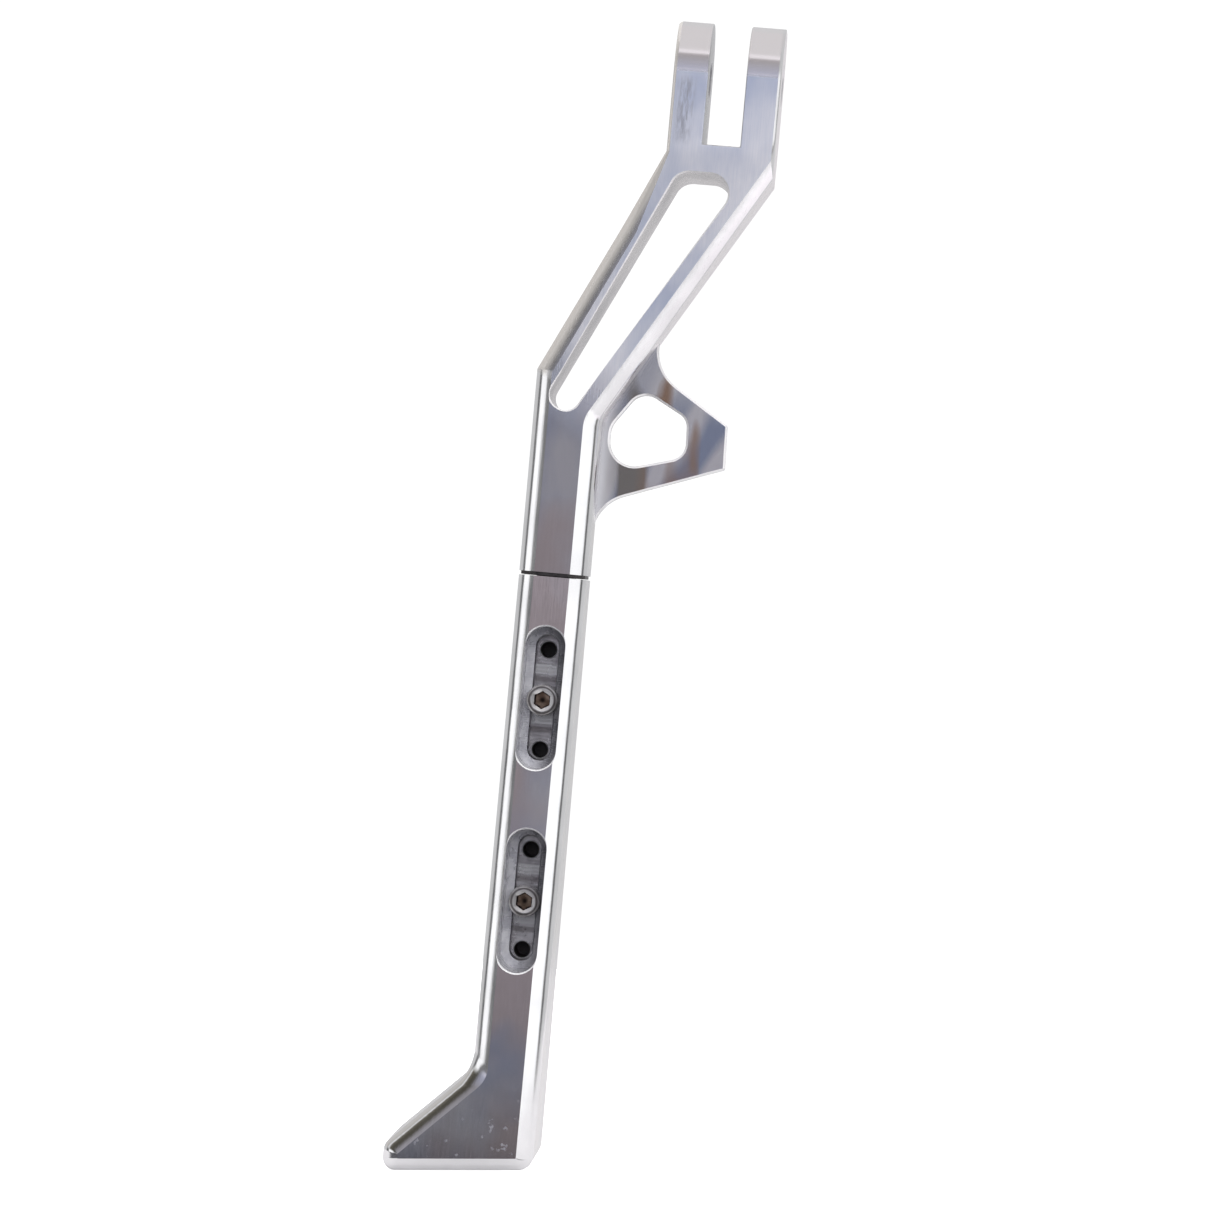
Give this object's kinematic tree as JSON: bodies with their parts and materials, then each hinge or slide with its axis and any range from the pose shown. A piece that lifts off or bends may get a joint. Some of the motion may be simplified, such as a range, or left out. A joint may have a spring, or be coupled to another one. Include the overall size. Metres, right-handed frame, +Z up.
{
  "type": "motorcycle side stand",
  "caption": "Length-adjustable motorcycle kickstand: forked upper leg with a kick tab, and a slotted lower leg with a foot, clamped by cap screws.",
  "frame": {"origin": "on the swing pivot's axis, midway between the two ears of the fork", "axes": "+X along the swing pivot's axis, +Z up the straight leg from the foot to the fork, and the screw heads face -Y"},
  "size_m": [0.0949, 0.0456, 0.37],
  "materials": {
    "leg_aluminium": "machined from billet and polished, with fine brushing",
    "screw_steel": "bright stainless steel"
  },
  "bodies": {
    "upper_leg": {"upper_leg": "leg_aluminium"},
    "lower_leg": {"lower_leg": "leg_aluminium"},
    "upper_clamp_screw": {"upper_clamp_screw": "screw_steel"},
    "lower_clamp_screw": {"lower_clamp_screw": "screw_steel"}
  },
  "joints": [
    {"name": "length_slide", "type": "slide", "parent": "upper_leg", "child": "lower_leg", "axis": [0, 0, -1], "range_m": [0, 0.016]},
    {"name": "upper_screw_turn", "type": "hinge", "parent": "upper_leg", "child": "upper_clamp_screw", "pos_m": [-0.0413, -0.002, -0.2011], "axis": [0, -1, 0], "range_deg": [0, 360]},
    {"name": "lower_screw_turn", "type": "hinge", "parent": "upper_leg", "child": "lower_clamp_screw", "pos_m": [-0.0413, -0.002, -0.2651], "axis": [0, -1, 0], "range_deg": [0, 360]}
  ]
}
